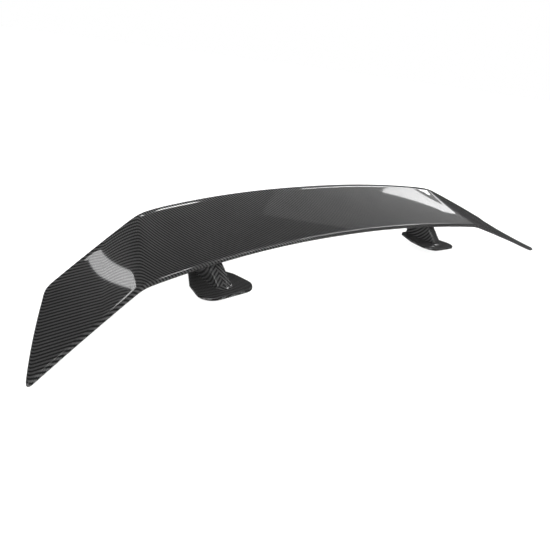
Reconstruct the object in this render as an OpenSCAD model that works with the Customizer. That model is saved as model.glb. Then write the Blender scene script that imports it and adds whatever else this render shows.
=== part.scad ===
// Rear wing for a coupe boot lid: a swept and drooped blade on two raked legs.
// Frame: +X along the span, +Y rearwards, +Z up.  The origin is the middle of
// the four tapped holes, on the plane that the two feet are bolted down to.
// Everything is drawn for the +X side and mirrored for the -X side.

/* [Blade] */
// Overall span, tip to tip
span = 1412; // [1150:1:1700]
// Height of the leading edge above the feet, at the middle
blade_z = 57; // [46:0.5:75]
// Set-back of the leading edge from the hole pattern, at the middle
blade_y = -3; // [-15:0.5:15]
// Chord measured along Y, at the middle
chord_run = 145; // [120:1:175]
// Rise of the trailing edge above the leading edge, at the middle
chord_rise = 72.6; // [55:0.2:90]
// Thickness of the section at the middle of the chord
section_t = 12.6; // [11:0.2:16]
// Thickness of the blunt nose
nose_t = 11; // [9:0.2:13]
// Thickness of the trailing edge
tail_t = 4.8; // [3.6:0.1:6]
// Length of the elliptical nose
nose_l = 7; // [5:0.5:10]
// Sag of the camber line, the upper face being the hollow one
camber = 7.3; // [3:0.1:9]
// Height of the upturned lip along the trailing edge
lip_h = 1.5; // [0.5:0.1:2.5]
// Width of the upturned lip
lip_l = 9; // [6:0.5:12]
// Share of the section thickness that is left at the tips
tip_taper = 0.94; // [0.7:0.01:1]

/* [Planform] */
// Half-span at which the leading edge folds down
fold_x = 505; // [430:1:540]
// How far the fold line leans inboard by the trailing edge
fold_skew = 60; // [30:1:80]
// How far the end of the tip panel leans inboard by the trailing edge
tip_skew = 72; // [30:1:85]
// Bulge of the outboard edge of the tip
tip_bulge = 5; // [0:0.5:10]
// Length over which each fold is rounded
fold_w = 36; // [20:1:50]
// Inboard distance from the droop fold of the trailing edge to its sweep fold
te_lead = 31; // [10:1:40]
// Length over which the sweep fold of the trailing edge is rounded
te_fold_w = 60; // [40:1:80]
// Forward bow of the leading edge, from the middle to the fold
le_bow = 56; // [20:1:70]
// Forward bow of the trailing edge, from the middle to the fold
te_bow = 32; // [10:1:45]
// Drop of the leading edge, from the middle to the fold
le_arch = 13; // [4:0.5:20]
// Drop of the trailing edge, from the middle to the fold
te_arch = 17; // [4:0.5:24]
// Forward sweep of the tip panels, in mm per mm of span
sweep = 0.43; // [0.3:0.01:0.5]
// Droop of the leading edge of the tip panels, in mm per mm of span
le_droop = 0.3; // [0.2:0.01:0.45]
// Droop of the trailing edge of the tip panels, in mm per mm of span
te_droop = 0.39; // [0.25:0.01:0.5]
// Extra droop reached at the very tip
tip_curl = 7; // [0:0.5:12]
// Corner radius at the front of the tip
tip_front_r = 9; // [4:0.5:14]
// Corner radius at the back of the tip
tip_rear_r = 14; // [8:1:30]

/* [Laminate and core] */
// Thickness of the blade skins
skin_t = 1.6; // [1:0.1:2.4]
// Width of the bonded flange behind the nose
nose_flange = 9; // [7:0.5:14]
// Width of the bonded flange ahead of the trailing edge
tail_flange = 14; // [10:0.5:20]
// Width of the bonded flange at each tip
tip_flange = 13; // [12:0.5:20]
// Glue line between the two skins, each side of the joint
bond_t = 0.15; // [0.1:0.05:0.3]
// Chordwise place of the shear web, as a share of the chord
web_at = 0.38; // [0.32:0.01:0.48]
// Thickness of the shear web, as a share of the chord
web_share = 0.02; // [0.015:0.005:0.03]

/* [Hard points] */
// Length of each hard point along the span
hard_l = 44; // [34:1:60]
// Front face of the hard point, as a share of the chord
hard_front = 0.22; // [0.16:0.01:0.28]
// Rear face of the hard point, as a share of the chord
hard_rear = 0.62; // [0.55:0.01:0.7]

/* [Legs] */
// Distance between the two legs
leg_pitch = 672; // [560:1:810]
// Width of a leg across its front face
leg_w = 31; // [26:0.5:38]
// Radius of the two front edges of a leg
leg_corner_r = 5; // [3:0.5:8]
// Radius of the two rear edges of a leg
leg_back_r = 11; // [8:0.5:12]
// Swell of the front face of a leg
leg_swell = 2; // [0:0.5:4]
// Foot of the leg's front face, measured from the hole pattern
leg_front = -51; // [-58:1:-44]
// Foot of the leg's back, measured from the hole pattern
leg_back = 53; // [48:1:60]
// Rake of the front face, in mm rearwards per mm of height
leg_rake = 1; // [0.7:0.01:1.2]
// Rake of the back, in mm rearwards per mm of height
leg_back_rake = 0.1; // [0:0.01:0.3]
// Outward lean of a leg on its foot, in mm per mm of height
leg_lean = 0.09; // [0:0.01:0.15]
// Fillet between leg and foot
leg_fillet = 5; // [3:0.5:8]
// Laminate thickness of the leg shells
leg_wall = 2.5; // [1.8:0.1:3.2]

/* [Feet] */
// Crown of the boot lid under each foot, in degrees
crown = 2.7; // [0:0.1:5]
// Thickness of the foot flange at its rim
foot_t = 5; // [4:0.5:7]
// How much thicker the flange is at the leg
foot_swell = 1.5; // [0:0.5:3]
// Width of a foot
foot_w = 114; // [95:1:135]
// Front edge of a foot, measured from the hole pattern
foot_front = -71; // [-80:1:-64]
// Rear end of a foot, measured from the hole pattern
foot_back = 64; // [60:1:76]
// Corner radius at the front of a foot
foot_front_r = 29; // [16:1:32]
// Radius of the middle of a foot's side
foot_side_r = 37; // [30:1:42]
// Where that round lies, measured from the foot's front edge
foot_side_y = 60; // [50:1:70]
// How far the foot has narrowed there, each side
foot_waist = 5.5; // [3:0.5:9]
// Rounding of the foot's upper rim
foot_edge = 1; // [0.5:0.1:1.5]
// Radius of the rear end of a foot
foot_rear_r = 30; // [22:1:34]
// Thickness of the sealing pad under the foot
pad_t = 1; // [0.5:0.1:2]
// Inset of the pad from the edge of the foot
pad_inset = 3; // [2:0.5:6]

/* [Fixings] */
// Distance between the two tapped holes in a foot
hole_pitch = 60; // [48:1:70]
// Tapping diameter of the holes, for M6
tap_d = 5; // [4:0.1:7]
// Depth of the tapped holes above the foot's underside
tap_depth = 12; // [9:0.5:13]
// Diameter of the spacers that reach through the pad around the tapped holes
spacer_d = 8; // [7.5:0.5:11]
// Radial clearance of a spacer in the pad
spacer_gap = 0.5; // [0.3:0.1:1.5]
// Height of the base block inside the leg
base_h = 15; // [14:0.5:18]
// Depth of the head block below the blade
head_h = 16; // [14:0.5:18]
// Diameter of the studs between leg and blade
stud_d = 6; // [5:0.5:8]
// Front stud, as a share of the chord
stud_front = 0.3; // [0.28:0.01:0.34]
// Rear stud, as a share of the chord
stud_rear = 0.46; // [0.44:0.01:0.48]
// How far a stud reaches up into the hard point
stud_up = 8; // [6:0.5:9]
// How far a stud reaches down into the head block
stud_down = 14; // [10:0.5:15]
// Radial clearance of a stud in the lower skin
stud_gap = 0.5; // [0.2:0.1:1]

/* [Hidden] */

half_span = span / 2;
leg_x = leg_pitch / 2;
te_ratio = (fold_x - fold_skew) / fold_x;
tip_ratio = 1 - (tip_skew - fold_skew) / (half_span - fold_x);
te_fold_z = fold_x - fold_skew;
te_fold_y = te_fold_z - te_lead;
le_power = 2.2;
te_power = 2.6;
tip_round = 6;          // run over which the tip's rim closes
tip_rim = 0.5;          // share of the thickness left on the rim's flat
foot_rim = pad_t + foot_t;
foot_top = foot_rim + foot_swell;
web_front = web_at;
web_rear = web_at + web_share;
carbon = [0.07, 0.07, 0.075];
foam = [0.86, 0.80, 0.62];
alloy = [0.72, 0.73, 0.75];
steel = [0.55, 0.56, 0.58];
gasket = [0.12, 0.12, 0.12];

// ---- Curves of the blade -------------------------------------------------

// 0 before x0, slope 1 after it, with the corner rounded over a width w
function ramp(x, x0, w) =
    x <= x0 - w / 2 ? 0 : x >= x0 + w / 2 ? x - x0 : pow(x - x0 + w / 2, 2) / (2 * w);
function before(x, x0, w) = x - ramp(x, x0, w);
function curl(d) = tip_curl * pow(d / (half_span - fold_x), 2);

function le_base(s) =
    let (out = ramp(s, fold_x, fold_w), share = (s - out) / fold_x)
    [s,
     blade_y - le_bow * pow(share, le_power) - sweep * out,
     blade_z - le_arch * pow(share, 2) - le_droop * out - curl(out)];

function te_base(s) =
    let (x = before(s, fold_x, fold_w) * te_ratio + ramp(s, fold_x, fold_w) * tip_ratio,
         out_y = ramp(x, te_fold_y, te_fold_w), out_z = ramp(x, te_fold_z, fold_w))
    [x,
     blade_y + chord_run - te_bow * pow((x - out_y) / te_fold_y, te_power) - sweep * out_y,
     blade_z + chord_rise - te_arch * pow((x - out_z) / te_fold_z, 2) - te_droop * out_z - curl(out_z)];

// The rounded corners of the tip shorten the chord of the last sections
function corner(s, r) = let (d = max(0, s - half_span + r)) r - sqrt(max(0, r * r - d * d));
function along(a, b, d) = a + (b - a) * d / norm(b - a);
function le(s) = along(le_base(s), te_base(s), corner(s, tip_front_r));
function te(s) = along(te_base(s), le_base(s), corner(s, tip_rear_r));

function unit(v) = v / norm(v);
function middle(s) = (le_base(s) + te_base(s)) / 2;
function spanwise(s) = s < 1 ? [1, 0, 0] : middle(s + 1) - middle(s - 1);
function up_normal(s) = unit(cross(spanwise(s), te_base(s) - le_base(s)));

// ---- Section of the blade ------------------------------------------------

function tip_factor(s) =
    let (d = min(1, (half_span - s) / tip_round)) max(tip_rim, sqrt(max(0, 1 - pow(1 - d, 2))));
function outboard(s) = max(0, s - fold_x) / (half_span - fold_x);
function taper(s) = 1 - (1 - tip_taper) * outboard(s);
bulge = (section_t - (nose_t + tail_t) / 2) / 2;
function half_t(s, u) =
    let (chord = norm(te(s) - le(s)), d = min(1, u * chord / nose_l))
    taper(s) * tip_factor(s) * sqrt(1 - pow(1 - d, 2))
    * ((1 - u) * nose_t / 2 + u * tail_t / 2 + bulge * 4 * u * (1 - u));
function lip(s, u) =
    let (chord = norm(te(s) - le(s)), d = max(0, 1 - (1 - u) * chord / lip_l))
    lip_h * tip_factor(s) * d * d;

// A point of the blade: station s, share u of the chord, height h off the camber line
function blade_pt(s, u, h) =
    let (a = abs(s), p = le(a) + u * (te(a) - le(a))
             + up_normal(a) * (h - 4 * camber * u * (1 - u) * taper(a)))
    [(s < 0 ? -1 : 1) * (p.x + tip_bulge * 4 * u * (1 - u) * pow(outboard(a), 2)), p.y, p.z];

function cavity_t(s, u) = let (a = abs(s)) a > cavity_end ? bond_t : half_t(a, u) - skin_t;
function flange_u(s, w) = w / norm(te(abs(s)) - le(abs(s)));
function core_u(s, k) =
    let (a = flange_u(s, nose_flange), b = 1 - flange_u(s, tail_flange))
    k < 0 ? a : k > 1 ? b : k;

// ---- Stations along the span and points along the chord ------------------

// Station whose chord crosses the leg's middle plane at share u of the chord
function over_leg(u) =
    (leg_x + (leg_lean + tan(crown)) * (blade_z + u * chord_rise)) / (1 - (1 - te_ratio) * u);
hard_mid = over_leg((hard_front + hard_rear) / 2);
hard_s0 = hard_mid - hard_l / 2;
hard_s1 = hard_mid + hard_l / 2;
web_end = fold_x - fold_w / 2;
cavity_end = half_span - tip_flange;
function steps(a, b, n) = [for (i = [1:n]) a + (b - a) * i / n];
half_stations = concat(
    steps(0, hard_s0, 8), steps(hard_s0, hard_s1, 2), steps(hard_s1, web_end, 3),
    steps(web_end, fold_x + fold_w / 2, 5), steps(fold_x + fold_w / 2, cavity_end, 4),
    steps(cavity_end, half_span - tip_round, 3),
    [for (a = [22.5:22.5:90]) half_span - tip_round * (1 - sin(a))]);
stations = concat([for (i = [len(half_stations) - 1:-1:0]) -half_stations[i]], [0], half_stations);
function between(a, b) = [for (s = stations) if (s >= a - 0.001 && s <= b + 0.001) s];

outer_u = concat([0, 0.004, 0.012, 0.025, 0.045, 0.08], [for (i = [1:8]) 0.08 + 0.8 * i / 8],
                 [0.92, 0.95, 0.975, 1]);
inner_u = [-1, 0.13, hard_front, stud_front, web_front, web_rear, stud_rear, hard_rear, 0.72, 0.81, 2];
function inner_between(a, b) = [for (u = inner_u) if (u >= a - 0.0001 && u <= b + 0.0001) u];

// ---- Solids lofted through rings of points -------------------------------

// An end is a strip across a ring whose two halves mirror each other, gap being
// 0 where the ring starts on its middle and 1 where it starts beside it
function strip(n, gap) = [for (i = [0:floor((n - 1) / 2)]) let (k = (n - gap - i) % n, m = (n - gap - i - 1) % n)
    each [[i, i + 1, m], [i, m, k]]];
function proper(faces) = [for (f = faces) if (f[0] != f[1] && f[1] != f[2] && f[0] != f[2]) f];
function turned(faces) = [for (f = faces) [for (i = [len(f) - 1:-1:0]) f[i]]];
// Two triangles of a four-cornered face, cut along its shorter diagonal so that
// neighbours which share the face are cut alike
function split(p, a, b, c, d) =
    norm(p[a] - p[c]) < norm(p[b] - p[d]) ? [[a, b, c], [a, c, d]] : [[a, b, d], [b, c, d]];
module loft(rings, flip, gap, end = []) {
    n = len(rings[0]);
    last = (len(rings) - 1) * n;
    cap = len(end) > 0 ? end : proper(strip(n, gap));
    far_cap = [for (f = turned(cap)) [for (i = f) last + i]];
    points = [for (ring = rings) each ring];
    sides = [for (j = [0:n:last - 1]) for (i = [0:n - 1]) let (k = (i + 1) % n)
        each split(points, j + i, j + n + i, j + n + k, j + k)];
    faces = concat(sides, cap, far_cap);
    polyhedron(points, flip ? faces : turned(faces), 4);
}

// The end of a skin is zipped between its outer line, which ends at index turn,
// and its inner line, by their shares of the chord
skin_shares = concat(outer_u, [1, 0.96], [for (i = [len(inner_u) - 1:-1:0]) min(0.95, max(0.05, inner_u[i]))], [0.04]);
function zip(i, j, turn) =
    i == turn && j == turn + 1 ? [] :
    j > turn + 1 && (i == turn || skin_shares[j - 1] < skin_shares[i + 1])
        ? concat([[i, j - 1, j]], zip(i, j - 1, turn))
        : concat([[i, i + 1, j]], zip(i + 1, j, turn));

// One skin: side is +1 for the upper, -1 for the lower
module skin(side) {
    loft([for (s = stations) let (a = abs(s)) concat(
        [for (u = outer_u) blade_pt(s, u, side * half_t(a, u) + (side > 0 ? lip(a, u) : 0))],
        [blade_pt(s, 1, 0), blade_pt(s, core_u(s, 2), 0)],
        [for (i = [len(inner_u) - 1:-1:0]) let (u = core_u(s, inner_u[i]))
            blade_pt(s, u, side * cavity_t(s, u))],
        [blade_pt(s, core_u(s, -1), 0)])],
        side < 0, 0, zip(0, len(skin_shares) - 1, len(outer_u)));
}

// The end of a block: the first and last of its cells fan out from the middles
// of their upright edges, at index 0 and half-way round
function block_end(n) = let (m = n / 2) m == 3 ? [for (i = [1:4]) [0, i, i + 1]] : concat(
    [[0, 1, 2], [0, 2, n - 2], [0, n - 2, n - 1]],
    [for (i = [2:1:m - 3]) each [[i, i + 1, n - i - 1], [i, n - i - 1, n - i]]],
    [[m - 2, m - 1, m], [m - 2, m, m + 2], [m, m + 1, m + 2]]);

// A block that fills the cavity between two chord shares and two stations
module cavity_block(u0, u1, s0, s1) {
    us = inner_between(u0, u1);
    last = len(us) - 1;
    loft([for (s = between(s0, s1)) concat(
        [blade_pt(s, core_u(s, us[0]), 0)],
        [for (k = us) let (u = core_u(s, k)) blade_pt(s, u, cavity_t(s, u))],
        [blade_pt(s, core_u(s, us[last]), 0)],
        [for (i = [last:-1:0]) let (u = core_u(s, us[i])) blade_pt(s, u, -cavity_t(s, u))])],
        false, 0, block_end(2 * last + 4));
}

// ---- Legs and feet -------------------------------------------------------

// The foot's frame: X outboard, Y rearwards, Z off the crowned boot lid
function from_foot(p) = [leg_x + p.x * cos(crown) + p.z * sin(crown), p.y, p.z * cos(crown) - p.x * sin(crown)];
function arc(c, r, a0, a1, n) = [for (i = [0:n]) let (a = a0 + (a1 - a0) * i / n) c + r * [cos(a), sin(a)]];
// Direction of the normal shared by two round stretches that a straight line joins
function shared_normal(c1, r1, c2, r2) =
    atan2(c2.y - c1.y, c2.x - c1.x) - acos((r1 - r2) / norm(c2 - c1));

foot_front_c = [foot_w / 2 - foot_front_r, foot_front + foot_front_r];
foot_side_c = [foot_w / 2 - foot_waist - foot_side_r, foot_front + foot_side_y];
foot_rear_c = [0, foot_back - foot_rear_r];
foot_a1 = shared_normal(foot_front_c, foot_front_r, foot_side_c, foot_side_r);
foot_a2 = shared_normal(foot_side_c, foot_side_r, foot_rear_c, foot_rear_r);
// Half outline of the foot, from the middle of its front edge round to its rear end
function foot_half(inset) = concat(
    [[0, foot_front + inset]],
    arc(foot_front_c, foot_front_r - inset, -90, foot_a1, 6),
    arc(foot_side_c, foot_side_r - inset, foot_a1, foot_a2, 3 + side_steps),
    arc(foot_rear_c, foot_rear_r - inset, foot_a2, 90, 5));
// The flat side of a leg runs between these, in a few steps that follow the blade
side_steps = 6;
leg_side_y0 = leg_front + leg_swell + leg_corner_r;
leg_side_y1 = leg_back - leg_back_r;
// Half outline of a leg at the top of the foot, grown by off
function leg_half(off) =
    let (w = leg_w / 2, r = leg_corner_r, rb = leg_back_r)
    concat([[0, leg_front - off], [(w - r) / 2, leg_front + leg_swell / 4 - off]],
           arc([w - r, leg_side_y0], r + off, -90, 0, 6),
           [for (i = [1:side_steps]) [w + off, leg_side_y0 + (leg_side_y1 - leg_side_y0) * i / (side_steps + 1)]],
           arc([w - rb, leg_side_y1], rb + off, 0, 90, 7),
           [[0, leg_back + off]]);
function mirrored(h) = [for (i = [len(h) - 2:-1:1]) [-h[i].x, h[i].y]];
function leg_full(off) =
    let (h = leg_half(off)) concat([for (i = [0:len(h) - 2]) h[i]], mirrored(h));

// A leg's points rise along its front rake or its back rake, and between them on its sides
function rise_of(p) =
    let (k = max(0, min(1, (p.y - leg_side_y0) / (leg_side_y1 - leg_side_y0))))
    [leg_lean, leg_rake + (leg_back_rake - leg_rake) * k, 1];
function raised(p, z) = [p.x, p.y, foot_top] + rise_of(p) * (z - foot_top);
function under(s, u) = blade_pt(s, u, -half_t(s, u));
// Height at which a leg's point meets a surface d below the blade's underside
function seat(p, d, z, s, u, n) =
    n == 0 ? z :
    let (a = from_foot(raised(p, z)), b = under(s, u), u1 = max(u_least, u + (a.y - b.y) / chord_run),
         s1 = s + a.x - b.x + s * (1 - te_ratio) * (u1 - u))
    seat(p, d, z + 0.8 * (under(s1, u1).z - d - a.z), s1, u1, n - 1);
u_least = 0.01;
function level(h, z) = [for (p = h) from_foot(raised(p, z))];
function flat_level(h, z) = [for (p = h) from_foot([p.x + leg_lean * (z - foot_top), p.y, z])];
function under_blade(h, d) =
    [for (p = h) from_foot(raised(p, seat(p, d, blade_z, leg_x, 0.5, 60)))];

// Growth of the leg's outline at height z, for the fillet on its foot
function flare(z) = let (d = leg_fillet + foot_top - z) leg_fillet - sqrt(leg_fillet * leg_fillet - d * d);
function handed(h, side) = [for (p = h) [side * p.x, p.y]];
function reversed(a) = [for (i = [len(a) - 1:-1:0]) a[i]];

// One half of a leg with its half of the foot, as a shell: side +1 outboard
module leg_shell(side) {
    bore = reversed(handed(leg_half(-leg_wall), side));
    loft(concat(
        [for (e = [[pad_t, 0], [foot_rim - foot_edge, 0], [foot_rim, foot_edge]])
            concat(flat_level(handed(foot_half(e[1]), side), e[0]), level(bore, e[0]))],
        [for (i = [0:3]) let (z = foot_top + leg_fillet * i / 3)
            concat(level(handed(leg_half(flare(z)), side), z), level(bore, z))],
        [concat(under_blade(handed(leg_half(0), side), bond_t), under_blade(bore, bond_t))]),
        side > 0, 1);
}

// A stud stands upright through a point of the blade's underside
module studs(r, up, down) {
    for (u = [stud_front, stud_rear])
        translate(under(over_leg(u), u) - [0, 0, down]) cylinder(r = r, h = up + down, $fn = 48);
}
module hard_point() {
    difference() {
        cavity_block(hard_front, hard_rear, hard_s0, hard_s1);
        studs(stud_d / 2, stud_up, section_t);
    }
}
module head_block() {
    bore = leg_full(-leg_wall);
    difference() {
        loft([under_blade(bore, head_h), under_blade(bore, bond_t)], true, 0);
        studs(stud_d / 2, section_t, stud_down);
    }
}
module leg_core() {
    bore = leg_full(-leg_wall);
    loft([level(bore, base_h), under_blade(bore, head_h)], true, 0);
}
module base_block() {
    bore = leg_full(-leg_wall);
    difference() {
        union() {
            loft([level(bore, pad_t), level(bore, base_h)], true, 0);
            translate([leg_x, 0, 0]) rotate([0, crown, 0]) for (y = [-0.5, 0.5] * hole_pitch)
                translate([0, y, 0]) cylinder(d = spacer_d, h = base_h / 2, $fn = 48);
        }
        for (y = [-0.5, 0.5] * hole_pitch)
            translate([leg_x, y, -foot_t]) cylinder(d = tap_d, h = foot_t + pad_t + tap_depth, $fn = 48);
    }
}
module foot_pad() {
    outline = foot_half(pad_inset);
    translate([leg_x, 0, 0]) rotate([0, crown, 0]) linear_extrude(pad_t) difference() {
        polygon(concat(outline, mirrored(outline)));
        for (y = [-0.5, 0.5] * hole_pitch) translate([0, y]) circle(d = spacer_d + 2 * spacer_gap, $fn = 48);
    }
}

// ---- Sub-parts -----------------------------------------------------------

module upper_skin() { color(carbon) skin(1); }
module lower_skin() {
    color(carbon) difference() {
        skin(-1);
        for (m = [0, 1]) mirror([m, 0, 0]) studs(stud_d / 2 + stud_gap, section_t / 2, section_t / 2);
    }
}
module nose_core_centre() { color(foam) cavity_block(-1, web_front, -hard_s0, hard_s0); }
module nose_core_right() { color(foam) cavity_block(-1, web_front, hard_s1, web_end); }
module nose_core_left() { mirror([1, 0, 0]) nose_core_right(); }
module tail_core_centre() { color(foam) cavity_block(web_rear, 2, -hard_s0, hard_s0); }
module tail_core_right() { color(foam) cavity_block(web_rear, 2, hard_s1, web_end); }
module tail_core_left() { mirror([1, 0, 0]) tail_core_right(); }
module tip_core_right() { color(foam) cavity_block(-1, 2, web_end, cavity_end); }
module tip_core_left() { mirror([1, 0, 0]) tip_core_right(); }
module hard_point_fillers_right() {
    color(foam) {
        cavity_block(-1, hard_front, hard_s0, hard_s1);
        cavity_block(hard_rear, 2, hard_s0, hard_s1);
    }
}
module hard_point_fillers_left() { mirror([1, 0, 0]) hard_point_fillers_right(); }
module shear_web_centre() { color(carbon) cavity_block(web_front, web_rear, -hard_s0, hard_s0); }
module shear_web_right() { color(carbon) cavity_block(web_front, web_rear, hard_s1, web_end); }
module shear_web_left() { mirror([1, 0, 0]) shear_web_right(); }
module hard_point_right() { color(alloy) hard_point(); }
module hard_point_left() { mirror([1, 0, 0]) hard_point_right(); }
module leg_outer_shell_right() { color(carbon) leg_shell(1); }
module leg_outer_shell_left() { mirror([1, 0, 0]) leg_outer_shell_right(); }
module leg_inner_shell_right() { color(carbon) leg_shell(-1); }
module leg_inner_shell_left() { mirror([1, 0, 0]) leg_inner_shell_right(); }
module leg_core_right() { color(foam) leg_core(); }
module leg_core_left() { mirror([1, 0, 0]) leg_core_right(); }
module head_block_right() { color(alloy) head_block(); }
module head_block_left() { mirror([1, 0, 0]) head_block_right(); }
module base_block_right() { color(alloy) base_block(); }
module base_block_left() { mirror([1, 0, 0]) base_block_right(); }
module leg_studs_right() { color(steel) studs(stud_d / 2, stud_up, stud_down); }
module leg_studs_left() { mirror([1, 0, 0]) leg_studs_right(); }
module foot_pad_right() { color(gasket) foot_pad(); }
module foot_pad_left() { mirror([1, 0, 0]) foot_pad_right(); }

upper_skin();
lower_skin();
nose_core_centre();
nose_core_left();
nose_core_right();
tail_core_centre();
tail_core_left();
tail_core_right();
tip_core_left();
tip_core_right();
hard_point_fillers_left();
hard_point_fillers_right();
shear_web_centre();
shear_web_left();
shear_web_right();
hard_point_left();
hard_point_right();
leg_outer_shell_left();
leg_outer_shell_right();
leg_inner_shell_left();
leg_inner_shell_right();
leg_core_left();
leg_core_right();
head_block_left();
head_block_right();
base_block_left();
base_block_right();
leg_studs_left();
leg_studs_right();
foot_pad_left();
foot_pad_right();
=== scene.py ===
"""Rear wing in lacquered carbon cloth: fine surfaces, finishes, studio and view.

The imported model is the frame.  The blade's two skins and the four leg shells are
built again here as fine smooth meshes from the same curves, with the cloth's own
coordinates on them, and every other sub-part keeps its mesh and gets its finish.
"""

from __future__ import annotations

import logging
import math
from dataclasses import dataclass, field
from enum import Enum
from typing import Any, Sequence

import bpy
import numpy as np
from mathutils import Matrix, Vector


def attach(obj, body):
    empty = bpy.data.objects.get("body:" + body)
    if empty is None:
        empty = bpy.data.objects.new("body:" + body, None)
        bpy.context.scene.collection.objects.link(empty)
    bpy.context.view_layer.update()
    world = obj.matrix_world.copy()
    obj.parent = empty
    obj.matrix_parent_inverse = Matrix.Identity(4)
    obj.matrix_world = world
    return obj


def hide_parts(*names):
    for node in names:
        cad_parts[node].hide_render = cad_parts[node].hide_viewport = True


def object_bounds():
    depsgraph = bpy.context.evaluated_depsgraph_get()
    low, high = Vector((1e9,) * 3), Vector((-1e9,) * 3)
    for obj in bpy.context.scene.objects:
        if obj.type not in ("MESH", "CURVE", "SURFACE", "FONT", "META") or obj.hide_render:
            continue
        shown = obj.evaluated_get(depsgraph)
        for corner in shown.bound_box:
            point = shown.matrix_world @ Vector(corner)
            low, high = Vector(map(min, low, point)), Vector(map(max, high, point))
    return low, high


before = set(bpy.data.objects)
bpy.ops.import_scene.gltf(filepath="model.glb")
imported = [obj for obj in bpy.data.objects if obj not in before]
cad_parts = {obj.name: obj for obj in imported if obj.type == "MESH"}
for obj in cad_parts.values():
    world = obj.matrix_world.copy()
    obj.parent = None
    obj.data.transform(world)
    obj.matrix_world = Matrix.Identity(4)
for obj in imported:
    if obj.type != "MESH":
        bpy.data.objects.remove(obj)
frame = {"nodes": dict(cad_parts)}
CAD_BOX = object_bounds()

LOG = logging.getLogger("rear_wing")
MM = 0.001
SHARP_EDGE = math.radians(32)
# A face counts as flat where this share of its normal points up or down
FLAT_SHARE = 0.7
# Angles round a small rounded edge
EDGE_TURN = np.radians([0, 22.5, 45, 67.5, 90])


class Side(Enum):
    """The two ends of the wing."""

    LEFT = -1
    RIGHT = 1


class Half(Enum):
    """The two halves that a moulded part is made in."""

    UPPER = 1
    LOWER = -1
    OUTER = 2
    INNER = -2


# ---- Shader arithmetic ---------------------------------------------------


@dataclass
class Signal:
    """A value socket that can be used in ordinary arithmetic."""

    recipe: "Recipe"
    socket: bpy.types.NodeSocket

    def _math(self, operation: str, *terms: Any) -> "Signal":
        """Add one Math node.

        Args:
            operation: Name of the Math operation.
            terms: Its inputs, signals or numbers.

        Returns:
            The node's result.
        """
        inputs = dict(enumerate(terms))
        node = self.recipe.node("ShaderNodeMath", {"operation": operation}, inputs)
        return Signal(self.recipe, node.outputs[0])

    def __add__(self, other: Any) -> "Signal":
        """Sum."""
        return self._math("ADD", self, other)

    def __radd__(self, other: Any) -> "Signal":
        """Sum, number first."""
        return self._math("ADD", other, self)

    def __sub__(self, other: Any) -> "Signal":
        """Difference."""
        return self._math("SUBTRACT", self, other)

    def __rsub__(self, other: Any) -> "Signal":
        """Difference, number first."""
        return self._math("SUBTRACT", other, self)

    def __mul__(self, other: Any) -> "Signal":
        """Product."""
        return self._math("MULTIPLY", self, other)

    def __rmul__(self, other: Any) -> "Signal":
        """Product, number first."""
        return self._math("MULTIPLY", other, self)

    def __truediv__(self, other: Any) -> "Signal":
        """Quotient."""
        return self._math("DIVIDE", self, other)

    def __mod__(self, other: Any) -> "Signal":
        """Remainder that is never negative."""
        return self._math("FLOORED_MODULO", self, other)

    def __lt__(self, other: Any) -> "Signal":
        """1 where this is the smaller, else 0."""
        return self._math("LESS_THAN", self, other)

    def floor(self) -> "Signal":
        """Whole part."""
        return self._math("FLOOR", self)

    def fraction(self) -> "Signal":
        """Part after the point."""
        return self._math("FRACT", self)


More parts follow.
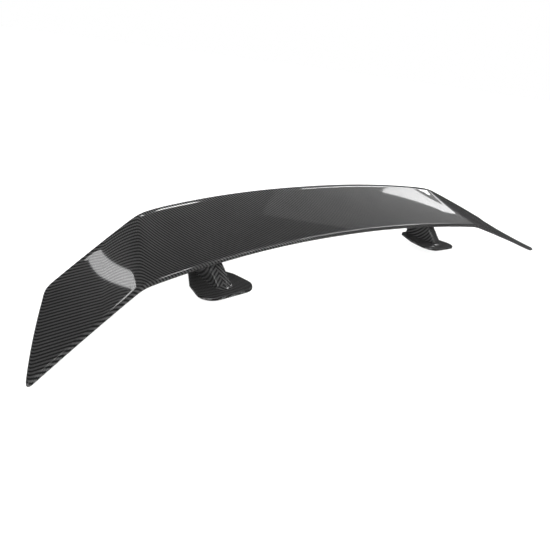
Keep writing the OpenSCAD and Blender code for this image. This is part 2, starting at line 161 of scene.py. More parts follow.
class Recipe:
    """The node tree of one material."""

    def __init__(self, name: str) -> None:
        """Start an empty material called name."""
        self.material = bpy.data.materials.new(name)
        self.material.use_nodes = True
        self.tree = self.material.node_tree
        self.tree.nodes.clear()

    def node(self, kind: str, settings: dict[str, Any] | None = None,
             inputs: dict[Any, Any] | None = None) -> bpy.types.Node:
        """Add a node.

        Args:
            kind: The node's type.
            settings: Attributes to set first.
            inputs: Socket values or links, by name or number.

        Returns:
            The node.
        """
        node = self.tree.nodes.new(kind)
        for key, value in (settings or {}).items():
            setattr(node, key, value)
        for key, value in (inputs or {}).items():
            if isinstance(value, Signal):
                self.tree.links.new(value.socket, node.inputs[key])
            else:
                node.inputs[key].default_value = value
        return node

    def signal(self, kind: str, output: Any, settings: dict[str, Any] | None = None,
               inputs: dict[Any, Any] | None = None) -> Signal:
        """Add a node and take one of its outputs."""
        return Signal(self, self.node(kind, settings, inputs).outputs[output])

    def parts(self, vector: Signal) -> tuple[Signal, Signal, Signal]:
        """Split a vector into its three numbers."""
        node = self.node("ShaderNodeSeparateXYZ", None, {0: vector})
        return tuple(Signal(self, out) for out in node.outputs)

    def vector(self, x: Any, y: Any, z: Any = 0.0) -> Signal:
        """Join three numbers into a vector."""
        return self.signal("ShaderNodeCombineXYZ", 0, None, {0: x, 1: y, 2: z})

    def between(self, share: Any, first: Any, second: Any) -> Signal:
        """Mix two numbers by a share."""
        return self.signal("ShaderNodeMix", 0, {"data_type": "FLOAT"},
                           {0: share, 2: first, 3: second})

    def tint(self, share: Any, first: Any, second: Any) -> Signal:
        """Mix two colours by a share."""
        node = self.node("ShaderNodeMix", {"data_type": "RGBA"}, {0: share, 6: first, 7: second})
        return Signal(self, node.outputs[2])

    def noise(self, where: Signal, scale: float, detail: float = 3.0) -> Signal:
        """Smooth noise at a scale, in features per unit of where."""
        return self.signal("ShaderNodeTexNoise", 0, None,
                           {"Vector": where, "Scale": scale, "Detail": detail})

    def place(self) -> Signal:
        """Position in the part's own frame, in metres."""
        return self.signal("ShaderNodeTexCoord", "Object")

    def relief(self, height: Signal, depth: float, strength: float = 1.0) -> Signal:
        """Turn a height of 0 to 1 into a bumped normal of the given depth in metres."""
        return self.signal("ShaderNodeBump", 0, None,
                           {"Height": height, "Distance": depth, "Strength": strength})

    def surface(self, **inputs: Any) -> bpy.types.Material:
        """Close the tree with a Principled surface.

        Args:
            inputs: Socket values or links; underscores stand for spaces.

        Returns:
            The finished material.
        """
        named = {key.replace("_", " "): value for key, value in inputs.items()}
        shader = self.node("ShaderNodeBsdfPrincipled", None, named)
        out = self.node("ShaderNodeOutputMaterial")
        self.tree.links.new(shader.outputs[0], out.inputs[0])
        return self.material


def grey(level: float) -> tuple[float, float, float, float]:
    """A neutral colour."""
    return (level, level, level, 1)


# ---- Finishes ------------------------------------------------------------


@dataclass(frozen=True)
class TwillCloth:
    """2x2 twill of carbon tows, bare or under a clear lacquer."""

    name: str
    tow: float = 0.002
    shade: float = 0.002
    # The light end of the cloth's colour is a painted glint, standing in for the light that the
    # tows reflect
    painted_glint: float = 0.17
    lacquer: float = 1.0
    roughness: float = 0.34
    specular: float = 0.3
    coat_roughness: float = 0.035
    coat_ior: float = 1.5
    # Warp and weft levels paint sheen: warp tows are coloured lighter than weft tows, though real
    # tows differ only in how they reflect light
    warp_sheen: float = 0.86
    weft_sheen: float = 0.03
    fibres: float = 9000.0
    fibre_runs: float = 500.0
    drift_scale: float = 14.0
    depth: float = 0.00012
    depth_strength: float = 0.55
    laid_on_surface: bool = True

    def make(self) -> bpy.types.Material:
        """Build the material."""
        r = Recipe(self.name)
        if self.laid_on_surface:
            where = r.signal("ShaderNodeAttribute", "Vector", {"attribute_name": "cloth"})
        else:
            where = r.place()
        across, along, up = r.parts(where)
        if not self.laid_on_surface:
            along = along + up
        a, b = across / self.tow, along / self.tow
        warp_up = ((a.floor() + b.floor()) % 4.0) < 2.0
        crown_a, crown_b = self._crown(a), self._crown(b)
        crown = r.between(warp_up, crown_b, crown_a)
        streaks_a = r.noise(r.vector(across * self.fibres, along * self.fibre_runs), 1.0, 2.0)
        streaks_b = r.noise(r.vector(across * self.fibre_runs, along * self.fibres), 1.0, 2.0)
        streaks = r.between(warp_up, streaks_b, streaks_a)
        drift = r.noise(where, self.drift_scale, 2.0)
        # Painted sheen: the tow lying on top in each cell is coloured lighter when it is warp than
        # when it is weft
        level = warp_up * self.warp_sheen + self.weft_sheen
        # Painted highlight and shade: each tow is coloured lighter on its crown and darker at its
        # edges; streaks are the fibres' own grain
        level = level * (0.4 + 0.6 * crown) * (0.6 + 0.8 * streaks)
        colour = r.tint(level * (0.8 + 0.4 * drift), grey(self.shade), grey(self.painted_glint))
        rough = self.roughness - 0.08 * warp_up + 0.06 * streaks
        normal = r.relief(0.8 * crown + 0.2 * streaks, self.depth, self.depth_strength)
        gloss = self.lacquer * (0.97 + 0.03 * drift)
        return r.surface(Base_Color=colour, Roughness=rough, Normal=normal,
                         Coat_Weight=gloss, Coat_Roughness=self.coat_roughness,
                         Coat_IOR=self.coat_ior, Specular_IOR_Level=self.specular)

    @staticmethod
    def _crown(tows: Signal) -> Signal:
        """Rounded top of a tow across its width."""
        offset = 2.0 * tows.fraction() - 1.0
        return 1.0 - offset * offset


@dataclass(frozen=True)
class RigidFoam:
    """Closed-cell structural foam."""

    name: str
    cell: float = 0.0007
    pit_depth: float = 0.0002
    drift_scale: float = 60.0
    # Painted shade: the bottom of each cell pit is coloured darker than the cell walls
    shaded_pit_colour: tuple[float, float, float, float] = (0.50, 0.43, 0.24, 1)
    wall_colour: tuple[float, float, float, float] = (0.78, 0.70, 0.46, 1)

    def make(self) -> bpy.types.Material:
        """Build the material."""
        r = Recipe(self.name)
        where = r.place()
        cells = r.signal("ShaderNodeTexVoronoi", "Distance", {"feature": "F1"},
                         {"Vector": where, "Scale": 1 / self.cell})
        drift = r.noise(where, self.drift_scale)
        # Painted shade in the pits: darker towards each cell's centre, where the relief is deepest
        colour = r.tint(cells * (0.6 + 0.8 * drift), self.shaded_pit_colour, self.wall_colour)
        return r.surface(Base_Color=colour, Roughness=0.75 + 0.15 * drift,
                         Normal=r.relief(cells, self.pit_depth))


@dataclass(frozen=True)
class WorkedMetal:
    """Milled or turned metal with its tool marks."""

    name: str
    colour: tuple[float, float, float, float]
    roughness: float
    marks: float
    mark_depth: float = 0.00003
    mark_stretch: float = 0.05
    cloud_scale: float = 90.0
    cloud_shade: float = 0.72

    def make(self) -> bpy.types.Material:
        """Build the material."""
        r = Recipe(self.name)
        where = r.place()
        x, y, z = r.parts(where)
        lines = r.noise(r.vector(x * self.marks, y * self.marks * self.mark_stretch,
                                 z * self.marks), 1.0, 2.0)
        clouds = r.noise(where, self.cloud_scale)
        dark = tuple(c * self.cloud_shade for c in self.colour[:3]) + (1,)
        return r.surface(Base_Color=r.tint(clouds, dark, self.colour), Metallic=1.0,
                         Roughness=self.roughness + 0.14 * lines,
                         Normal=r.relief(lines, self.mark_depth))


@dataclass(frozen=True)
class CellRubber:
    """Closed-cell sealing rubber."""

    name: str
    grain_scale: float = 2600.0
    grain_depth: float = 0.00015

    def make(self) -> bpy.types.Material:
        """Build the material."""
        r = Recipe(self.name)
        grain = r.noise(r.place(), self.grain_scale, 4.0)
        return r.surface(Base_Color=r.tint(grain, grey(0.012), grey(0.035)),
                         Roughness=0.72 + 0.2 * grain, Normal=r.relief(grain, self.grain_depth))


@dataclass(frozen=True)
class PalePaper:
    """The studio's sweep."""

    name: str
    level: float = 0.93
    mottle_scale: float = 7.0

    def make(self) -> bpy.types.Material:
        """Build the material."""
        r = Recipe(self.name)
        mottle = r.noise(r.place(), self.mottle_scale)
        return r.surface(Base_Color=r.tint(mottle, grey(self.level - 0.01), grey(self.level)),
                         Roughness=0.85 + 0.08 * mottle, Specular_IOR_Level=0.1)


# ---- Meshes --------------------------------------------------------------


@dataclass
class Loft:
    """A closed solid through rings of points, with cloth coordinates on its faces.

    rings is (rings, points, 3) in millimetres and cloth is (rings, points + 1, 2),
    its last column closing each ring.
    """

    rings: np.ndarray
    cloth: np.ndarray
    strip_ends: bool = False
    flat_cloth: bool = False
    polygons: list[list[int]] = field(default_factory=list)
    corners: list[np.ndarray] = field(default_factory=list)

    def build(self, name: str, finish: bpy.types.Material) -> bpy.types.Object:
        """Make the object.

        Args:
            name: The piece's name.
            finish: Its material.

        Returns:
            The new object, linked to the scene.
        """
        points = self.rings.reshape(-1, 3)
        self._walls()
        self._ends(points)
        if self._volume(points) < 0:
            self.polygons = [p[::-1] for p in self.polygons]
            self.corners = [c[::-1] for c in self.corners]
        mesh = bpy.data.meshes.new(name)
        mesh.from_pydata([tuple(p) for p in points * MM], [], self.polygons)
        values = np.zeros((sum(len(c) for c in self.corners), 3))
        values[:, :2] = np.concatenate(self.corners) * MM
        layer = mesh.attributes.new("cloth", "FLOAT_VECTOR", "CORNER")
        layer.data.foreach_set("vector", values.astype(np.float32).ravel())
        mesh.shade_smooth()
        mesh.set_sharp_from_angle(angle=SHARP_EDGE)
        mesh.materials.append(finish)
        mesh.update()
        piece = bpy.data.objects.new(name, mesh)
        bpy.context.scene.collection.objects.link(piece)
        return piece

    def _walls(self) -> None:
        """Add the four-cornered faces between neighbouring rings."""
        count, n, _ = self.rings.shape
        for j in range(count - 1):
            for i in range(n):
                k = (i + 1) % n
                face = [j * n + i, (j + 1) * n + i, (j + 1) * n + k, j * n + k]
                self.polygons.append(face)
                if self.flat_cloth and self._lies_flat(j, i, k):
                    self.corners.append(self.rings.reshape(-1, 3)[face][:, :2])
                else:
                    self.corners.append(np.array([
                        self.cloth[j, i], self.cloth[j + 1, i],
                        self.cloth[j + 1, i + 1], self.cloth[j, i + 1]]))

    def _lies_flat(self, j: int, i: int, k: int) -> bool:
        """Does the face at ring j, point i face upwards or downwards?"""
        a, b, c, d = self.rings[j, i], self.rings[j + 1, i], self.rings[j + 1, k], self.rings[j, k]
        normal = np.cross(c - a, d - b)
        return abs(normal[2]) > FLAT_SHARE * np.linalg.norm(normal)

    def _ends(self, points: np.ndarray) -> None:
        """Close the first and the last ring."""
        count, n, _ = self.rings.shape
        for base, turn in ((0, 1), ((count - 1) * n, -1)):
            if self.strip_ends:
                faces = [[base + i, base + i + 1, base + n - 2 - i, base + n - 1 - i]
                         for i in range(n // 2 - 1)]
            else:
                faces = [list(range(base, base + n))]
            for face in faces:
                face = face[::turn]
                self.polygons.append(face)
                self.corners.append(points[face][:, :2] if self.flat_cloth
                                    else points[face][:, 1:])

    def _volume(self, points: np.ndarray) -> float:
        """Six times the signed volume inside the faces."""
        total = 0.0
        for face in self.polygons:
            p = points[face]
            total += float(np.einsum("ij,ij->", np.cross(p[1:-1], p[2:]),
                                     np.broadcast_to(p[0], (len(p) - 2, 3))))
        return total


def ramp(x: np.ndarray, start: float, width: float) -> np.ndarray:
    """0 before start and slope 1 after it, rounded over width."""
    lead = np.clip(x - start + width / 2, 0, width)
    return lead ** 2 / (2 * width) + np.maximum(0, x - start - width / 2)


def running_length(points: np.ndarray) -> np.ndarray:
    """Distance along a row of points, starting at 0."""
    steps = np.linalg.norm(np.diff(points, axis=-2), axis=-1)
    zero = np.zeros(steps.shape[:-1] + (1,))
    return np.concatenate([zero, np.cumsum(steps, axis=-1)], axis=-1)


@dataclass(frozen=True)
class BladeForm:
    """The curves and the section of the blade, in millimetres."""

    span: float = 1412
    blade_z: float = 57
    blade_y: float = -3
    chord_run: float = 145
    chord_rise: float = 72.6
    section_t: float = 12.6
    nose_t: float = 11
    tail_t: float = 4.8
    nose_l: float = 7
    camber: float = 7.3
    lip_h: float = 1.5
    lip_l: float = 9
    tip_taper: float = 0.94
    fold_x: float = 505
    fold_skew: float = 60
    tip_skew: float = 72
    tip_bulge: float = 5
    fold_w: float = 36
    te_lead: float = 31
    te_fold_w: float = 60
    le_bow: float = 56
    te_bow: float = 32
    le_arch: float = 13
    te_arch: float = 17
    sweep: float = 0.43
    le_droop: float = 0.3
    te_droop: float = 0.39
    tip_curl: float = 7
    tip_front_r: float = 9
    tip_rear_r: float = 14
    tip_round: float = 6
    tip_rim: float = 0.5
    le_power: float = 2.2
    te_power: float = 2.6
    skin_t: float = 1.6
    nose_flange: float = 9
    tail_flange: float = 14
    tip_flange: float = 13
    bond_t: float = 0.15

    @property
    def half_span(self) -> float:
        """Half of the span."""
        return self.span / 2

    @property
    def te_ratio(self) -> float:
        """Run of the trailing edge for each unit of the leading edge, inboard."""
        return (self.fold_x - self.fold_skew) / self.fold_x

    def _curl(self, d: np.ndarray) -> np.ndarray:
        """Extra droop at distance d outboard of the fold."""
        return self.tip_curl * (d / (self.half_span - self.fold_x)) ** 2

    def le_base(self, s: np.ndarray) -> np.ndarray:
        """Leading edge before its corners are rounded."""
        out = ramp(s, self.fold_x, self.fold_w)
        share = (s - out) / self.fold_x
        return np.stack([
            s,
            self.blade_y - self.le_bow * share ** self.le_power - self.sweep * out,
            self.blade_z - self.le_arch * share ** 2 - self.le_droop * out - self._curl(out),
        ], axis=-1)

    def te_base(self, s: np.ndarray) -> np.ndarray:
        """Trailing edge before its corners are rounded."""
        fold_z = self.fold_x - self.fold_skew
        fold_y = fold_z - self.te_lead
        tip_ratio = 1 - (self.tip_skew - self.fold_skew) / (self.half_span - self.fold_x)
        past = ramp(s, self.fold_x, self.fold_w)
        x = (s - past) * self.te_ratio + past * tip_ratio
        out_y, out_z = ramp(x, fold_y, self.te_fold_w), ramp(x, fold_z, self.fold_w)
        return np.stack([
            x,
            self.blade_y + self.chord_run - self.te_bow * ((x - out_y) / fold_y) ** self.te_power
            - self.sweep * out_y,
            self.blade_z + self.chord_rise - self.te_arch * ((x - out_z) / fold_z) ** 2
            - self.te_droop * out_z - self._curl(out_z),
        ], axis=-1)

    def edges(self, s: np.ndarray) -> tuple[np.ndarray, np.ndarray]:
        """Leading and trailing edge at stations s, which are not negative."""
        le, te = self.le_base(s), self.te_base(s)
        way = (te - le) / np.linalg.norm(te - le, axis=-1, keepdims=True)
        cut = [r - np.sqrt(np.maximum(0, r * r - np.maximum(0, s - self.half_span + r) ** 2))
               for r in (self.tip_front_r, self.tip_rear_r)]
        return le + way * cut[0][..., None], te - way * cut[1][..., None]

    def chord(self, s: np.ndarray) -> np.ndarray:
        """Length of the chord."""
        le, te = self.edges(np.abs(s))
        return np.linalg.norm(te - le, axis=-1)

    def _middle(self, s: np.ndarray) -> np.ndarray:
        """Middle of the chord."""
        return (self.le_base(s) + self.te_base(s)) / 2

    def _up(self, s: np.ndarray) -> np.ndarray:
        """Direction square to the chord and to the span."""
        inner = np.maximum(s, 1)
        spanwise = self._middle(inner + 1) - self._middle(inner - 1)
        spanwise = np.where((s < 1)[..., None], np.array([1.0, 0, 0]), spanwise)
        up = np.cross(spanwise, self.te_base(s) - self.le_base(s))
        return up / np.linalg.norm(up, axis=-1, keepdims=True)

    def _outboard(self, s: np.ndarray) -> np.ndarray:
        """Share of the tip panel that lies inboard of s."""
        return np.maximum(0, s - self.fold_x) / (self.half_span - self.fold_x)

    def _taper(self, s: np.ndarray) -> np.ndarray:
        """Share of the thickness at s."""
        return 1 - (1 - self.tip_taper) * self._outboard(s)

    def _tip_factor(self, s: np.ndarray) -> np.ndarray:
        """Rounding of the tip's rim."""
        d = np.clip((self.half_span - s) / self.tip_round, 0, 1)
        return np.maximum(self.tip_rim, np.sqrt(1 - (1 - d) ** 2))

    def half_t(self, s: np.ndarray, u: np.ndarray) -> np.ndarray:
        """Half of the section's thickness."""
        a = np.abs(s)
        d = np.clip(u * self.chord(a) / self.nose_l, 0, 1)
        bulge = (self.section_t - (self.nose_t + self.tail_t) / 2) / 2
        return (self._taper(a) * self._tip_factor(a) * np.sqrt(1 - (1 - d) ** 2)
                * ((1 - u) * self.nose_t / 2 + u * self.tail_t / 2 + bulge * 4 * u * (1 - u)))

    def lip(self, s: np.ndarray, u: np.ndarray) -> np.ndarray:
        """Height of the upturned lip."""
        a = np.abs(s)
        d = np.maximum(0, 1 - (1 - u) * self.chord(a) / self.lip_l)
        return self.lip_h * self._tip_factor(a) * d * d

    def point(self, s: np.ndarray, u: np.ndarray, h: np.ndarray) -> np.ndarray:
        """Points of the blade.

        Args:
            s: Stations along the leading edge, negative on the left.
            u: Shares of the chord.
            h: Heights off the camber line.

        Returns:
            Points in millimetres, one for each s, u and h.
        """
        s, u, h = np.broadcast_arrays(s, u, h)
        a = np.abs(s)
        le, te = self.edges(a)
        sag = 4 * self.camber * u * (1 - u) * self._taper(a)
        p = le + u[..., None] * (te - le) + self._up(a) * (h - sag)[..., None]
        p[..., 0] += self.tip_bulge * 4 * u * (1 - u) * self._outboard(a) ** 2
        p[..., 0] *= np.where(s < 0, -1, 1)
        return p

    def under(self, s: np.ndarray, u: np.ndarray) -> np.ndarray:
        """Points of the blade's underside."""
        return self.point(s, u, -self.half_t(s, u))


@dataclass
class Blade:
    """The upper and lower skins of the blade."""

    form: BladeForm
    edge_r: float = 0.8
    rim_share: float = 0.6
    tip_degrees: int = 6
    body_stations: int = 250
    panel_steps: int = 26
    lip_steps: int = 9
    nose_steps: int = 12
    inner_steps: int = 14
    drape_angle: float = 16.0
    drape_run: float = 90.0

    def stations(self) -> np.ndarray:
        """Stations from the left tip to the right one."""
        f = self.form
        curve = [f.half_span - f.tip_rear_r * (1 - math.sin(math.radians(a)))
                 for a in range(0, 91, self.tip_degrees)]
        body = np.linspace(0, f.half_span - f.tip_rear_r, self.body_stations // 2)[:-1]
        half = np.concatenate([body, curve])
        return np.concatenate([-half[:0:-1], half])

    def outer_line(self, s: np.ndarray, half: Half) -> tuple[np.ndarray, np.ndarray]:
        """Chord shares and heights of the outer face, from the nose to the rear edge.

        Args:
            s: Stations, as a column.
            half: Upper or lower skin.

        Returns:
            Shares and heights, one row for each station.
        """
        f, side, chord = self.form, half.value, self.form.chord(s)
        bend = np.radians(np.linspace(0, 90, self.nose_steps))
        nose = f.nose_l * (1 - np.cos(bend)) / chord
        start, end = f.nose_l / chord, 1 - f.lip_l / chord
        panel = start + (end - start) * np.linspace(0, 1, self.panel_steps)[1:]
        lip = end + (1 - self.edge_r / chord - end) * np.linspace(0, 1, self.lip_steps)[1:]
        u = np.concatenate([nose, panel, lip], axis=1)
        h = f.half_t(s, u) + (f.lip(s, u) if side > 0 else 0)
        turn = EDGE_TURN[1:]
        rim = np.minimum(self.edge_r, h[:, -1:] * self.rim_share)
        u = np.concatenate([u, 1 - self.edge_r * (1 - np.sin(turn)) / chord], axis=1)
        h = np.concatenate([h, h[:, -1:] - rim * (1 - np.cos(turn))], axis=1)
        return u, side * h

    def inner_line(self, s: np.ndarray, half: Half) -> tuple[np.ndarray, np.ndarray]:
        """Shares and heights of the bonded flanges and the hollow, rear to front."""
        f, side, chord = self.form, half.value, self.form.chord(s)
        front, rear = f.nose_flange / chord, 1 - f.tail_flange / chord
        u = rear + (front - rear) * np.linspace(0, 1, self.inner_steps)
        hollow = np.where(np.abs(s) > f.half_span - f.tip_flange, f.bond_t,
                          f.half_t(s, u) - f.skin_t)
        zero = np.zeros_like(chord)
        u = np.concatenate([zero + 1, rear, u, front], axis=1)
        return u, side * np.concatenate([zero, zero, hollow, zero], axis=1)

    def skin(self, half: Half) -> Loft:
        """One skin as a loft, with its cloth laid along the span and turned on the tips.

        Args:
            half: Upper or lower skin.

        Returns:
            The loft.
        """
        f, s = self.form, self.stations()[:, None]
        outer, inner = self.outer_line(s, half), self.inner_line(s, half)
        u, h = (np.concatenate(pair, axis=1) for pair in zip(outer, inner))
        rings = f.point(s, u, h)
        run = running_length(f.point(s[:, 0], np.full(len(s), 0.5), np.zeros(len(s))))
        run = (run - run[-1] / 2)[:, None]
        inboard = np.minimum(np.abs(s[:, 0]), f.fold_x)
        le, te = f.edges(inboard)
        slant = np.linalg.norm(te - le, axis=-1) / (te - le)[:, 1]
        chordwise = running_length(np.concatenate([rings, rings[:, :1]], axis=1))
        past = np.maximum(0, np.abs(s) - f.fold_x) * math.hypot(1, f.sweep, f.le_droop)
        turn = math.radians(self.drape_angle) * np.clip(past / self.drape_run, 0, 1)
        across = run - np.sign(s) * chordwise * np.sin(turn)
        along = chordwise * np.cos(turn) + (le[:, 1] * slant)[:, None] + past * np.sin(turn)
        return Loft(rings, np.stack([across, along], axis=-1))

    def build(self, finish: bpy.types.Material) -> None:
        """Make both skins."""
        for half, node in ((Half.UPPER, "upper_skin"), (Half.LOWER, "lower_skin")):
            piece = self.skin(half).build(f"{node}_laminate", finish)
            adopt(piece, node)


@dataclass
class Leg:
    """A leg with its foot, moulded as an outer and an inner shell."""

    form: BladeForm
    leg_pitch: float = 672
    leg_w: float = 31
    corner_r: float = 5
    back_r: float = 11
    swell: float = 2
    front: float = -51
    back: float = 53
    rake: float = 1
    back_rake: float = 0.1
    lean: float = 0.09
    fillet: float = 5
    wall: float = 2.5
    crown: float = 2.7
    foot_t: float = 5
    foot_swell: float = 1.5
    foot_w: float = 114
    foot_front: float = -71
    foot_back: float = 64
    foot_front_r: float = 29
    foot_side_r: float = 37
    foot_side_y: float = 60
    foot_waist: float = 5.5
    foot_edge: float = 1
    foot_rear_r: float = 30
    pad_t: float = 1
    front_steps: int = 8
    corner_steps: int = 14
    side_steps: int = 20
    back_steps: int = 16
    fillet_steps: int = 10
    rise_steps: int = 16
    seat_rounds: int = 60
    seat_step: float = 0.8
    shoulder_shares: tuple[float, float] = (0.34, 0.67)

    @property
    def foot_top(self) -> float:
        """Height of the flange where it meets the leg."""
        return self.pad_t + self.foot_t + self.foot_swell

    @staticmethod
    def _arc(centre: Sequence[float], r: float, a0: float, a1: float, n: int) -> np.ndarray:
        """Points of an arc, from angle a0 to a1 in degrees."""
        a = np.radians(np.linspace(a0, a1, n + 1))
        return np.stack([centre[0] + r * np.cos(a), centre[1] + r * np.sin(a)], axis=-1)

    @staticmethod
    def _shared_normal(c1: Sequence[float], r1: float, c2: Sequence[float], r2: float) -> float:
        """Angle of the normal that two rounds share along their common tangent."""
        dx, dy = c2[0] - c1[0], c2[1] - c1[1]
        return math.degrees(math.atan2(dy, dx) - math.acos((r1 - r2) / math.hypot(dx, dy)))

    def foot_outline(self, inset: float) -> np.ndarray:
        """Half outline of the foot, from the middle of its front round to its rear."""
        c1 = (self.foot_w / 2 - self.foot_front_r, self.foot_front + self.foot_front_r)
        c2 = (self.foot_w / 2 - self.foot_waist - self.foot_side_r,
              self.foot_front + self.foot_side_y)
        c3 = (0, self.foot_back - self.foot_rear_r)
        a1 = self._shared_normal(c1, self.foot_front_r, c2, self.foot_side_r)
        a2 = self._shared_normal(c2, self.foot_side_r, c3, self.foot_rear_r)
        x = np.linspace(0, c1[0], self.front_steps + 1)[:-1]
        front = np.stack([x, np.full_like(x, self.foot_front + inset)], axis=-1)
        return np.concatenate([
            front,
            self._arc(c1, self.foot_front_r - inset, -90, a1, self.corner_steps),
            self._arc(c2, self.foot_side_r - inset, a1, a2, self.side_steps),
            self._arc(c3, self.foot_rear_r - inset, a2, 90, self.back_steps)])

    def leg_outline(self, grow: float) -> np.ndarray:
        """Half outline of the leg at the top of the foot, grown outwards."""
        w, r, rb = self.leg_w / 2, self.corner_r, self.back_r
        x = np.linspace(0, w - r, self.front_steps + 1)[:-1]
        front = np.stack([x, self.front + self.swell * (x / (w - r)) ** 2 - grow], axis=-1)
        y0, y1 = self._side_ends()
        y = np.linspace(y0, y1, self.side_steps + 2)[1:-1]
        side = np.stack([np.full_like(y, w + grow), y], axis=-1)
        return np.concatenate([
            front, self._arc((w - r, y0), r + grow, -90, 0, self.corner_steps), side,
            self._arc((w - rb, y1), rb + grow, 0, 90, self.back_steps), [[0, self.back + grow]]])

    def _side_ends(self) -> tuple[float, float]:
        """Where the flat side of the leg starts and ends."""
        return self.front + self.swell + self.corner_r, self.back - self.back_r

    def _from_foot(self, p: np.ndarray) -> np.ndarray:
        """From the foot's own crowned frame to the wing's."""
        c, s = math.cos(math.radians(self.crown)), math.sin(math.radians(self.crown))
        return np.stack([self.leg_pitch / 2 + p[..., 0] * c + p[..., 2] * s, p[..., 1],
                         p[..., 2] * c - p[..., 0] * s], axis=-1)

    def _raised(self, outline: np.ndarray, z: np.ndarray) -> np.ndarray:
        """An outline's points carried up the leg's rakes to height z."""
        y0, y1 = self._side_ends()
        k = np.clip((outline[:, 1] - y0) / (y1 - y0), 0, 1)
        up = np.asarray(z) - self.foot_top
        return np.stack([
            outline[:, 0] + self.lean * up,
            outline[:, 1] + (self.rake + (self.back_rake - self.rake) * k) * up,
            self.foot_top + up + np.zeros(len(outline))], axis=-1)

    def level(self, outline: np.ndarray, z: float) -> np.ndarray:
        """An outline cut through the leg at height z."""
        return self._from_foot(self._raised(outline, z))

    def flat_level(self, outline: np.ndarray, z: float) -> np.ndarray:
        """An outline of the foot at height z."""
        x = outline[:, 0] + self.lean * (z - self.foot_top)
        return self._from_foot(np.stack([x, outline[:, 1], np.full(len(outline), z)], axis=-1))

    def under_blade(self, outline: np.ndarray, gap: float) -> np.ndarray:
        """An outline carried up until it meets the blade's underside."""
        f, n = self.form, len(outline)
        z = np.full(n, f.blade_z, float)
        s, u = np.full(n, self.leg_pitch / 2), np.full(n, 0.5)
        for _ in range(self.seat_rounds):
            a, b = self.level(outline, z), f.under(s, u)
            u1 = np.maximum(0.01, u + (a[:, 1] - b[:, 1]) / f.chord_run)
            s = s + a[:, 0] - b[:, 0] + s * (1 - f.te_ratio) * (u1 - u)
            u = u1
            z = z + self.seat_step * (f.under(s, u)[:, 2] - gap - a[:, 2])
        return self.level(outline, z)

    def shell(self, side: Side, half: Half) -> Loft:
        """One shell as a loft from the foot's underside up to the blade.

        Args:
            side: Left or right leg.
            half: Outer or inner shell.

        Returns:
            The loft.
        """
        hand = np.array([1 if half is Half.OUTER else -1, 1])
        bore = (self.leg_outline(-self.wall) * hand)[::-1]
        rim, edge = self.pad_t + self.foot_t, self.foot_edge
        rings = []
        for inset, z in [(0, self.pad_t)] + [
                (edge * (1 - math.cos(a)), rim - edge * (1 - math.sin(a)))
                for a in EDGE_TURN]:
            rings.append(np.concatenate([self.flat_level(self.foot_outline(inset) * hand, z),
                                         self.level(bore, z)]))
        first_flare = self.leg_outline(self._flare(self.foot_top)) * hand
        shoulder = self.level(first_flare, self.foot_top)
        n = len(shoulder)
        rings += [rings[-1] + (np.concatenate([shoulder, self.level(bore, self.foot_top)])
                               - rings[-1]) * k for k in self.shoulder_shares]
        for z in self.foot_top + self.fillet * np.linspace(0, 1, self.fillet_steps):
            wall = self.level(self.leg_outline(self._flare(z)) * hand, z)
            rings.append(np.concatenate([wall, self.level(bore, z)]))
        top = np.concatenate([self.under_blade(self.leg_outline(0) * hand, self.form.bond_t),
                              self.under_blade(bore, self.form.bond_t)])
        low = rings[-1]
        rings += [low + (top - low) * k for k in np.linspace(0, 1, self.rise_steps)[1:]]
        solid = np.stack(rings)
        solid[..., 0] *= side.value
        closed = np.concatenate([solid, solid[:, :1]], axis=1)
        around = np.broadcast_to(running_length(closed)[-1], closed.shape[:2])
        height = running_length(closed.swapaxes(0, 1)).swapaxes(0, 1)
        height = np.broadcast_to(height[:, n // 4:n // 4 + 1], around.shape)
        return Loft(solid, np.stack([around, height], axis=-1), True, True)

    def _flare(self, z: float) -> float:
        """Growth of the leg's outline at height z, for the fillet on its foot."""
        d = max(0.0, self.fillet + self.foot_top - z)
        return self.fillet - math.sqrt(max(0.0, self.fillet ** 2 - d * d))

    def build(self, finish: bpy.types.Material) -> None:
        """Make the four shells."""
        for side in Side:
            for half, word in ((Half.OUTER, "outer"), (Half.INNER, "inner")):
                node = f"leg_{word}_shell_{side.name.lower()}"
                piece = self.shell(side, half).build(f"{node}_laminate", finish)
                adopt(piece, node)


def adopt(piece: bpy.types.Object, node: str) -> None:
    """Let a piece stand for a CAD node and ride with the wing.

    Args:
        piece: The new piece.
        node: The CAD node that it stands for.
    """
    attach(piece, "root")
    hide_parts(node)
    LOG.info("%s stands for %s, %d faces", piece.name, node, len(piece.data.polygons))


@dataclass
class InnerParts:
    """The sub-parts that keep their own meshes: cores, webs, blocks, studs and pads."""

    foam: bpy.types.Material
    bare: bpy.types.Material
    alloy: bpy.types.Material
    steel: bpy.types.Material
    rubber: bpy.types.Material

    def finish_for(self, node: str) -> bpy.types.Material:
        """The finish of a node, by the kind of part that its name says."""
        for word, finish in (("core", self.foam), ("filler", self.foam), ("web", self.bare),
                             ("shell", self.bare), ("skin", self.bare), ("studs", self.steel),
                             ("pad", self.rubber)):
            if word in node:
                return finish
        return self.alloy

    def dress(self, nodes: dict[str, bpy.types.Object]) -> None:
        """Give every node its finish."""
        for name, node in nodes.items():
            finish = self.finish_for(name)
            if not node.material_slots:
                node.data.materials.append(finish)
            for place in node.material_slots:
                place.material = finish
            LOG.info("%s dressed in %s", name, finish.name)


# ---- Studio --------------------------------------------------------------


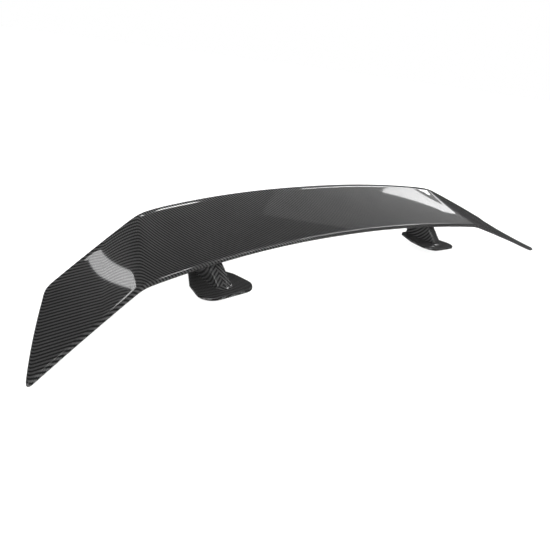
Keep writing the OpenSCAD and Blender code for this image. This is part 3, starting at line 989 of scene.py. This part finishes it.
@dataclass(frozen=True)
class Softbox:
    """A soft rectangular light, aimed at a point of the wing."""

    name: str
    place: tuple[float, float, float]
    aim: tuple[float, float, float]
    size: tuple[float, float]
    power: float
    roll: float = 0.0

    def build(self) -> None:
        """Add the light."""
        light = bpy.data.lights.new(self.name, "AREA")
        light.shape = "RECTANGLE"
        light.size, light.size_y = self.size
        light.energy = self.power
        lamp = bpy.data.objects.new(self.name, light)
        way = Vector(self.aim) - Vector(self.place)
        turn = way.to_track_quat("-Z", "Y").to_matrix().to_4x4()
        lamp.matrix_world = (Matrix.Translation(self.place) @ turn
                             @ Matrix.Rotation(math.radians(self.roll), 4, "Z"))
        lamp.visible_camera = False
        bpy.context.scene.collection.objects.link(lamp)


@dataclass
class Studio:
    """Floor, surround, lights and the view."""

    floor_gap: float = 0.0005
    floor_half: float = 40.0
    floor_light: float = 3.6
    floor_spread: float = 60.0
    surround: float = 0.07
    lens: float = 32.73
    sensor: float = 36.0
    clip: tuple[float, float] = (0.01, 200.0)
    eye: tuple[float, float, float] = (-0.8236, -0.7294, 0.4056)
    right: tuple[float, float, float] = (0.7783, -0.6153, 0.1252)
    up: tuple[float, float, float] = (0.1569, 0.3836, 0.9101)
    forward: tuple[float, float, float] = (0.6080, 0.6887, -0.3950)

    def camera(self) -> None:
        """Stand the camera in front of the left end, looking down along the wing."""
        data = bpy.data.cameras.new("view")
        data.lens, data.sensor_width = self.lens, self.sensor
        data.clip_start, data.clip_end = self.clip
        view = bpy.data.objects.new("view", data)
        columns = (self.right, self.up, tuple(-x for x in self.forward))
        turn = Matrix([[c[i] for c in columns] for i in range(3)])
        view.matrix_world = Matrix.Translation(self.eye) @ turn.to_4x4()
        bpy.context.scene.collection.objects.link(view)
        bpy.context.scene.camera = view

    def floor(self, low: float) -> None:
        """Lay the pale floor just under the wing's lowest point."""
        half, z = self.floor_half, low - self.floor_gap
        mesh = bpy.data.meshes.new("floor")
        mesh.from_pydata([(-half, -half, z), (half, -half, z), (half, half, z), (-half, half, z)],
                         [], [(0, 1, 2, 3)])
        mesh.materials.append(PalePaper("pale_paper").make())
        sheet = bpy.data.objects.new("floor", mesh)
        sheet.visible_glossy = False
        bpy.context.scene.collection.objects.link(sheet)
        self.floor_lamp(sheet)

    def surroundings(self) -> None:
        """White behind the wing, and a dim even room for what it lights and mirrors."""
        world = bpy.data.worlds.new("room")
        world.use_nodes = True
        tree = world.node_tree
        tree.nodes.clear()
        out = tree.nodes.new("ShaderNodeOutputWorld")
        mix = tree.nodes.new("ShaderNodeMixShader")
        path = tree.nodes.new("ShaderNodeLightPath")
        for place, level in ((1, self.surround), (2, 1.0)):
            light = tree.nodes.new("ShaderNodeBackground")
            light.inputs[0].default_value = grey(1.0)
            light.inputs[1].default_value = level
            tree.links.new(light.outputs[0], mix.inputs[place])
        tree.links.new(path.outputs["Is Camera Ray"], mix.inputs[0])
        tree.links.new(mix.outputs[0], out.inputs[0])
        bpy.context.scene.world = world

    def lights(self) -> None:
        """Hang the softboxes."""
        for box in (
            Softbox("front_key", (-1.7, -2.3, 2.0), (-0.1, 0, 0.05), (1.6, 1.0), 42),
            Softbox("rear_window", (-0.512, 0.280, 0.6), (-0.53, 0, 0.06), (0.165, 0.03), 0.10, 17),
            Softbox("lip_left", (1.0, 0.2, 2.3), (-0.4, 0.1, 0.1), (0.3, 0.16), 3.4),
            Softbox("lip_right", (2.45, 0.12, 2.3), (0.2, 0.1, 0.1), (0.2, 0.8), 9),
            Softbox("tip_spot", (-0.6, -0.25, 1.2), (-0.7, -0.13, 0), (0.12, 0.05), 0.35),
            Softbox("right_wall", (2.5, 0.55, 2.1), (0.1, 0.05, 0.09), (0.9, 1.6), 1.3),
            Softbox("right_streak", (2.4, 0.42, 1.62), (0.43, 0.03, 0.08), (0.16, 0.4), 1.2),
            Softbox("leg_strip", (1.0, -0.75, 1.15), (-0.34, -0.02, 0.05), (0.06, 0.4), 1.2),
        ):
            box.build()

    def floor_lamp(self, sheet: bpy.types.Object) -> None:
        """Light the floor alone, evenly and without shadows.

        Args:
            sheet: The floor.
        """
        light = bpy.data.lights.new("floor_lamp", "SUN")
        light.energy, light.angle = self.floor_light, math.radians(self.floor_spread)
        lamp = bpy.data.objects.new("floor_lamp", light)
        bpy.context.scene.collection.objects.link(lamp)
        for kind in ("receiver_collection", "blocker_collection"):
            only = bpy.data.collections.new(f"floor_{kind}")
            only.objects.link(sheet)
            setattr(lamp.light_linking, kind, only)

    def build(self, low: float) -> None:
        """Set everything up around a wing whose lowest point is low."""
        self.camera()
        self.floor(low)
        self.surroundings()
        self.lights()
        settings = bpy.context.scene.view_settings
        settings.view_transform = "Standard"
        settings.look = "None"


def main() -> None:
    """Build the wing's pieces, dress them and set up the studio."""
    logging.basicConfig(level=logging.INFO, format="%(name)s: %(message)s")
    Studio().build(CAD_BOX[0][2])
    lacquered = TwillCloth("lacquered_twill").make()
    form = BladeForm()
    Blade(form).build(lacquered)
    Leg(form).build(lacquered)
    InnerParts(
        foam=RigidFoam("core_foam").make(),
        # The bare cloth's light colour is painted sheen as well
        bare=TwillCloth("bare_twill", shade=0.02, painted_glint=0.05, lacquer=0.0, roughness=0.55,
                        laid_on_surface=False).make(),
        alloy=WorkedMetal("milled_alloy", (0.78, 0.79, 0.80, 1), 0.28, 900.0).make(),
        steel=WorkedMetal("turned_steel", (0.56, 0.57, 0.60, 1), 0.24, 2400.0).make(),
        rubber=CellRubber("seal_rubber").make(),
    ).dress(frame["nodes"])


if __name__ == "__main__":
    main()
